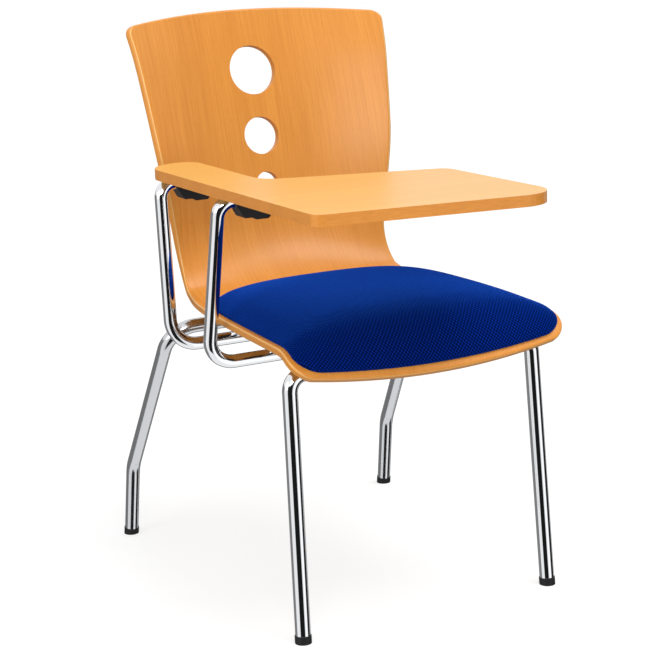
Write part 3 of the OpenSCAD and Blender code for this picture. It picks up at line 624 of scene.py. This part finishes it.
def split_edge_faces(piece, is_edge):
    """Gives the second material to the faces that is_edge picks."""
    layer = piece.data.uv_layers["depth"].data
    for polygon in piece.data.polygons:
        depths = [layer[i].uv.x for i in polygon.loop_indices]
        if is_edge(min(depths), max(depths)):
            polygon.material_index = 1


# Depth below either face, in millimetres, at which the rounded edge starts to show its plies
EDGE_TURN_SHARE = 0.35
EDGE_FROM = EDGE_TURN_SHARE * SHELL_EDGE_R
beech = wood("beech_veneer", lambda shader: shader.uv("sheet"), BEECH, BEECH_DARK,
             fleck_share=0.8, roughness=0.40)
beech_edge_and_rim_highlight = ply_edge_with_rim_highlight("beech_ply_edge_and_rim_highlight", lambda shader: shader.node(
    "ShaderNodeSeparateXYZ", Vector=shader.uv("depth")).outputs[0], SHELL_PLIES, SHELL_T * MM,
    BEECH_EDGE, BEECH_EDGE_DARK)
shell = make_shell()
shell.data.materials.clear()
shell.data.materials.append(beech)
shell.data.materials.append(beech_edge_and_rim_highlight)
split_edge_faces(shell, lambda low, high: high > EDGE_FROM * MM
                 and low < (SHELL_T - EDGE_FROM) * MM)
sharp_by_angle(shell, SHELL_SHARP_ANGLE)
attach(shell, "root")
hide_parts("seat_shell")


# Cushion: a crowned closed form that follows the seat
CUSHION_FROM = CUSHION_FRONT_RIM
CUSHION_TO = CUSHION_FROM + CUSHION_L
CUSHION_FRONT_L = FRONT_CORNER_L - CUSHION_FROM


def cushion_half_width(s):
    return (half_width(s) - CUSHION_RIM
            - CUSHION_FRONT_W * rounded_off((s - CUSHION_FROM) / CUSHION_FRONT_L)
            - CUSHION_REAR_W * rounded_off((CUSHION_TO - s) / CUSHION_REAR_L))


def cushion_shift(s, x):
    ahead = max(0, (s - FLAT_AT) / (CUSHION_TO - FLAT_AT))
    return -CUSHION_BOW * (2 * x / SEAT_W) ** 2 * ahead ** 3


def cushion_top(s, x, w, crown_h):
    """Height of the cushion's top: a rounded edge with a crown inside it."""
    inset = min(w - abs(x), s - CUSHION_FROM, CUSHION_TO - s)
    round_share = math.sqrt(1 - max(0, 1 - inset / CUSHION_ROLL) ** 2)
    along = abs(2 * (s - CUSHION_FROM) / CUSHION_L - 1)
    front_rise = 1 - (1 - min(1, (s - CUSHION_FROM) / CUSHION_FRONT_RISE_L)) ** 2
    crown = (1 - min(1, abs(x / w)) ** CROWN_SIDE_POWER) * (1 - min(1, along) ** CROWN_END_POWER)
    return (SOFT_GAP + CUSHION_EDGE_H * (EDGE_WALL_SHARE + (1 - EDGE_WALL_SHARE) * round_share)
            + crown_h * crown * round_share * front_rise)


def make_cushion(name, crown_h):
    front = [CUSHION_FROM + q * CUSHION_FRONT_L for q in quarter(CUSHION_FRONT_STEPS)]
    rear = [CUSHION_TO - q * CUSHION_REAR_L for q in quarter(CUSHION_REAR_STEPS)]
    straight = between(FRONT_CORNER_L, CUSHION_TO - CUSHION_REAR_L, CUSHION_ROWS)[:-1]
    rows = sorted(front + straight + rear)
    edge = [q * CUSHION_ROLL for q in quarter(CUSHION_ROLL_STEPS)]
    rings, sheets = [], []
    for s in rows:
        w = cushion_half_width(s)
        xs = across(w, edge, CUSHION_MIDDLES)
        lift = [(x, cushion_top(s, x, w, crown_h)) for x in xs]
        base = [(x, SOFT_GAP) for x in reversed(xs)]
        rings.append([on_shell(s + cushion_shift(s, x), x, up) for x, up in lift + base])
        sheets.append([(x * MM, s * MM, 0) for x, up in lift + base])
    cushion = loft(name, rings, sheets)
    held = cushion.vertex_groups.new(name="held")
    count, last = len(rings[0]), len(rings) - 1
    held.add([i for i in range(count * len(rings)) if i // count in (0, last)
              or i % count == 0 or i % count >= count // 2 - 1], 1.0, "ADD")
    return cushion


# The cloth's pressure and frames, the most that a point may rise and stand outside the outline,
# in metres, and the share of the crown that it starts from
PUFF_PRESSURE = 4
PUFF_FRAMES = 20
PUFF_CAP = 0.006
PUFF_OUTSIDE = 0.0003
PUFF_START_SHARE = 0.97


def puff_up(piece, outline):
    """Blows the cushion up as cloth under pressure, and keeps it inside its outline."""
    start = [v.co.copy() for v in piece.data.vertices]
    cloth = piece.modifiers.new("pressure", "CLOTH")
    cloth.settings.vertex_group_mass = "held"
    cloth.settings.use_pressure = True
    cloth.settings.uniform_pressure_force = PUFF_PRESSURE
    cloth.settings.effector_weights.gravity = 0
    for step in range(1, PUFF_FRAMES + 1):
        scene.frame_set(step)
    apply_modifiers(piece)
    scene.frame_set(1)
    tree, _ = surface_tree(outline)
    for vertex, before in zip(piece.data.vertices, start):
        near, normal, _, _ = tree.find_nearest(before)
        room = (near - before).dot(normal) + PUFF_OUTSIDE
        rise = min((vertex.co - before).dot(normal), room, PUFF_CAP)
        vertex.co = before + normal * max(0, rise)
    finer = piece.modifiers.new("finer", "SUBSURF")
    finer.levels = finer.render_levels = 1
    apply_modifiers(piece)


def surface_tree(piece):
    mesh = piece.data
    mesh.calc_loop_triangles()
    triangles = [tuple(t.vertices) for t in mesh.loop_triangles]
    return BVHTree.FromPolygons([v.co for v in mesh.vertices], triangles), triangles


def weave_from(piece, outline):
    """Gives each point the weave place of the nearest spot on the outline's skin."""
    tree, triangles = surface_tree(outline)
    source = outline.data.uv_layers["sheet"].data
    flat = {loop.vertex_index: source[loop.index].uv.copy() for loop in outline.data.loops}
    places = []
    for vertex in piece.data.vertices:
        near, _, index, _ = tree.find_nearest(vertex.co)
        corners = triangles[index]
        shares = poly_3d_calc([outline.data.vertices[i].co for i in corners], near)
        places.append(sum((flat[i] * share for i, share in zip(corners, shares)), Vector((0, 0))))
    layer = piece.data.uv_layers.new(name="weave")
    for loop in piece.data.loops:
        layer.data[loop.index].uv = places[loop.vertex_index]


cushion_outline = make_cushion("cushion_outline", CUSHION_CROWN_H)
cushion = make_cushion("seat_cushion", CUSHION_CROWN_H * PUFF_START_SHARE)
puff_up(cushion, cushion_outline)
weave_from(cushion, cushion_outline)
bpy.data.objects.remove(cushion_outline)
cushion.data.materials.append(cloth_material())
sharp_by_angle(cushion, CUSHION_SHARP_ANGLE)
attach(cushion, "root")
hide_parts("cushion_cover", "cushion_foam")

# Carried-over CAD nodes
pale_beech = wood("pale_beech_veneer", object_place((1, 0, 2)), BEECH_PALE, BEECH_PALE_DARK,
                  fleck_share=0.25, roughness=0.36)
tablet_edge_and_shade = wood("tablet_edge_band_and_shade", object_place((2, 0, 1)), TABLET_EDGE_GRAIN_AND_SHADE, TABLET_EDGE_DARK_GRAIN_AND_SHADE,
                   fleck_share=0.3, roughness=0.36)
tablet = dress("tablet_board", pale_beech, TABLET_BEVEL, TABLET_BEVEL_STEPS)
tablet.data.materials.append(tablet_edge_and_shade)
# Faces that aren't level take the edge colour: darker partly for the edge grain, partly painted
# shade
for polygon in tablet.data.polygons:
    polygon.material_index = 0 if abs(polygon.normal.z) > LEVEL_NORMAL_Z else 1
chrome = metal("bright_chrome", CHROME, roughness=0.06)
satin_chrome = metal("satin_chrome", SATIN_CHROME, roughness=0.15)
zinc = metal("zinc_plate", ZINC, roughness=0.32, bump=ZINC_RELIEF)
black_metal = moulded("black_paint", BLACK, roughness=0.42)
black_plastic = moulded("black_plastic", BLACK, roughness=0.5)
foot_rubber = moulded("black_foot", BLACK, roughness=0.55)
board = moulded("black_board", BLACK, roughness=0.7)
for name in ("front_leg_tube", "rail_right", "rail_left", "arm_tube_front", "arm_tube_rear"):
    dress(name, chrome)
dress("rear_leg_tube", satin_chrome)
for name in ("cushion_screws", "seat_bolts", "seat_bolt_washers", "seat_tee_nuts",
             "tablet_inserts", "bracket_screws"):
    dress(name, zinc)
for name in ("bracket_front", "bracket_rear"):
    dress(name, black_metal)
for name in ("seat_spacers", "arm_tube_plugs"):
    dress(name, black_plastic)
for corner in ("front_right", "front_left", "rear_right", "rear_left"):
    dress("foot_" + corner, foot_rubber, FOOT_BEVEL)
dress("cushion_base", board)


# Stage: how white the floor reflects and shows, and the strengths of the lights
FLOOR_REACH = 12
FLOOR_WHITE = 0.40
FLOOR_SHOWN = 1.07
WORLD_LIGHT = 0.50
SUN_LIGHT = 0.46
SUN_ANGLE = 34
SUN_TOWARDS = (0.25, -0.30, 1.0)

# Each lamp's name, place, aim, size and power
LAMPS = (("key", (-1.25, -2.3, 1.55), (0.1, 0.3, 0.7), (1.3, 0.9), 26),
         ("fill", (-2.5, -0.4, 1.2), (0, 0, 0.6), (1.2, 1.2), 14))

# Cards: the share of the half width that stays unfaded, and the distance and lower edge in metres
CARD_CORE_SHARE = 0.84
CARD_AWAY = 3.0
CARD_LOW = -3.4

# Each card's name, heading and half width in degrees, lower and upper edge in metres, and shade
CARDS = (("card_ahead", 0, 33, CARD_LOW, 1.1, 0.012),
         ("card_right", 98, 27, CARD_LOW, 0.8, 0.02),
         ("card_bright", 57, 14, CARD_LOW, 0.7, 1.25),
         ("card_dim", 60, 34, 0.7, 2.2, 0.3),
         ("card_left", -114, 36, CARD_LOW, 0.8, 0.24),
         ("card_behind", 180, 50, CARD_LOW, 0.8, 0.28))


def make_camera():
    azimuth = math.radians(CAMERA_AZIMUTH)
    front_to_origin = FRONT_CROSS_Y * MM + FITTED_CROSS_AHEAD
    place = Vector((math.sin(azimuth) * CAMERA_DISTANCE,
                    -math.cos(azimuth) * CAMERA_DISTANCE + front_to_origin, CAMERA_HEIGHT))
    turn = azimuth + math.radians(CAMERA_YAW)
    pitch = math.radians(CAMERA_PITCH)
    roll = math.radians(CAMERA_ROLL)
    forward = Vector((-math.sin(turn) * math.cos(pitch), math.cos(turn) * math.cos(pitch),
                      -math.sin(pitch)))
    right = Vector((math.cos(turn), math.sin(turn), 0))
    up = right.cross(forward)
    right, up = (right * math.cos(roll) + up * math.sin(roll),
                 up * math.cos(roll) - right * math.sin(roll))
    data = bpy.data.cameras.new("camera")
    data.sensor_width = SENSOR_WIDTH
    data.lens = SENSOR_WIDTH * FOCAL_PIXELS / IMAGE_SIZE
    camera = bpy.data.objects.new("camera", data)
    camera.matrix_world = (Matrix.Translation(place)
                           @ Matrix((right, up, -forward)).transposed().to_4x4())
    scene.collection.objects.link(camera)
    scene.camera = camera


def seen_directly(tree):
    """1 for camera, glossy and transmission rays, which see the white background, or 0."""
    light_path = tree.nodes.new("ShaderNodeLightPath")
    share = light_path.outputs["Is Camera Ray"]
    for name in ("Is Glossy Ray", "Is Transmission Ray"):
        most = tree.nodes.new("ShaderNodeMath")
        most.operation = "MAXIMUM"
        tree.links.new(share, most.inputs[0])
        tree.links.new(light_path.outputs[name], most.inputs[1])
        share = most.outputs[0]
    return share


def make_floor():
    mesh = bpy.data.meshes.new("floor")
    corners = [(x * FLOOR_REACH, y * FLOOR_REACH, 0)
               for x, y in ((-1, -1), (1, -1), (1, 1), (-1, 1))]
    mesh.from_pydata(corners, [], [(0, 1, 2, 3)])
    floor = bpy.data.objects.new("floor", mesh)
    scene.collection.objects.link(floor)
    floor.visible_glossy = False
    material = bpy.data.materials.new("floor_white")
    material.use_nodes = True
    tree = material.node_tree
    bsdf = tree.nodes["Principled BSDF"]
    bsdf.inputs["Base Color"].default_value = (FLOOR_WHITE, FLOOR_WHITE, FLOOR_WHITE, 1)
    bsdf.inputs["Roughness"].default_value = 0.9
    bsdf.inputs["Specular IOR Level"].default_value = 0.0
    bsdf.inputs["Emission Color"].default_value = (1, 1, 1, 1)
    share = seen_directly(tree)
    strength = tree.nodes.new("ShaderNodeMath")
    strength.operation = "MULTIPLY"
    strength.inputs[1].default_value = FLOOR_SHOWN - FLOOR_WHITE * (WORLD_LIGHT + SUN_LIGHT)
    tree.links.new(share, strength.inputs[0])
    tree.links.new(strength.outputs[0], bsdf.inputs["Emission Strength"])
    mesh.materials.append(material)


def make_world():
    world = bpy.data.worlds.new("studio")
    scene.world = world
    world.use_nodes = True
    tree = world.node_tree
    background = tree.nodes["Background"]
    background.inputs["Color"].default_value = (1, 1, 1, 1)
    share = seen_directly(tree)
    spread = tree.nodes.new("ShaderNodeMapRange")
    spread.inputs["To Min"].default_value = WORLD_LIGHT
    spread.inputs["To Max"].default_value = 1.0
    tree.links.new(share, spread.inputs["Value"])
    tree.links.new(spread.outputs[0], background.inputs["Strength"])


def area_lamp(name, place, aim, size, power):
    data = bpy.data.lights.new(name, "AREA")
    data.shape = "RECTANGLE"
    data.size, data.size_y = size
    data.energy = power
    lamp = bpy.data.objects.new(name, data)
    lamp.location = place
    lamp.rotation_euler = (Vector(aim) - Vector(place)).to_track_quat("-Z", "Y").to_euler()
    scene.collection.objects.link(lamp)


def overhead_lamp(towards):
    """Soft light from above that doesn't fade along the floor."""
    data = bpy.data.lights.new("overhead", "SUN")
    data.energy = SUN_LIGHT * math.pi
    data.angle = math.radians(SUN_ANGLE)
    lamp = bpy.data.objects.new("overhead", data)
    lamp.rotation_euler = Vector(towards).to_track_quat("Z", "Y").to_euler()
    scene.collection.objects.link(lamp)


def card_material(name, shade):
    """A flat grey that fades out towards the sides of its card."""
    material = bpy.data.materials.new(name)
    material.use_nodes = True
    tree = material.node_tree
    tree.nodes.clear()
    across_card = tree.nodes.new("ShaderNodeSeparateXYZ")
    tree.links.new(tree.nodes.new("ShaderNodeUVMap").outputs[0], across_card.inputs[0])
    fade = tree.nodes.new("ShaderNodeMapRange")
    fade.interpolation_type = "SMOOTHSTEP"
    fade.inputs["From Min"].default_value = 1.0
    fade.inputs["From Max"].default_value = CARD_CORE_SHARE
    away = tree.nodes.new("ShaderNodeMath")
    away.operation = "ABSOLUTE"
    tree.links.new(across_card.outputs[0], away.inputs[0])
    tree.links.new(away.outputs[0], fade.inputs["Value"])
    clear = tree.nodes.new("ShaderNodeBsdfTransparent")
    grey = tree.nodes.new("ShaderNodeEmission")
    grey.inputs["Color"].default_value = (shade, shade, shade, 1)
    mix = tree.nodes.new("ShaderNodeMixShader")
    tree.links.new(fade.outputs[0], mix.inputs[0])
    tree.links.new(clear.outputs[0], mix.inputs[1])
    tree.links.new(grey.outputs[0], mix.inputs[2])
    output = tree.nodes.new("ShaderNodeOutputMaterial")
    tree.links.new(mix.outputs[0], output.inputs[0])
    return material


def card(name, heading, half, low, high, material):
    """An upright studio card that only shows in reflections, in a heading off the camera's."""
    sides = [math.radians(CAMERA_AZIMUTH - 90 + heading + turn) for turn in (-half, half)]
    feet = [Vector((math.cos(turn), math.sin(turn), 0)) * CARD_AWAY for turn in sides]
    mesh = bpy.data.meshes.new(name)
    mesh.from_pydata([foot + Vector((0, 0, z)) for foot, z in zip(
        (feet[0], feet[1], feet[1], feet[0]), (low, low, high, high))],
        [], [(0, 1, 2, 3)])
    layer = mesh.uv_layers.new(name="across")
    for loop in mesh.loops:
        layer.data[loop.index].uv = (1 if loop.vertex_index in (1, 2) else -1, 0)
    made = bpy.data.objects.new(name, mesh)
    mesh.materials.append(material)
    made.visible_camera = False
    made.visible_diffuse = False
    made.visible_shadow = False
    made.visible_transmission = False
    scene.collection.objects.link(made)


make_camera()
make_floor()
make_world()
overhead_lamp(SUN_TOWARDS)
for lamp in LAMPS:
    area_lamp(*lamp)
for name, heading, half, low, high, shade in CARDS:
    card(name, heading, half, low, high, card_material(name + "_grey", shade))

scene.view_settings.view_transform = "Standard"
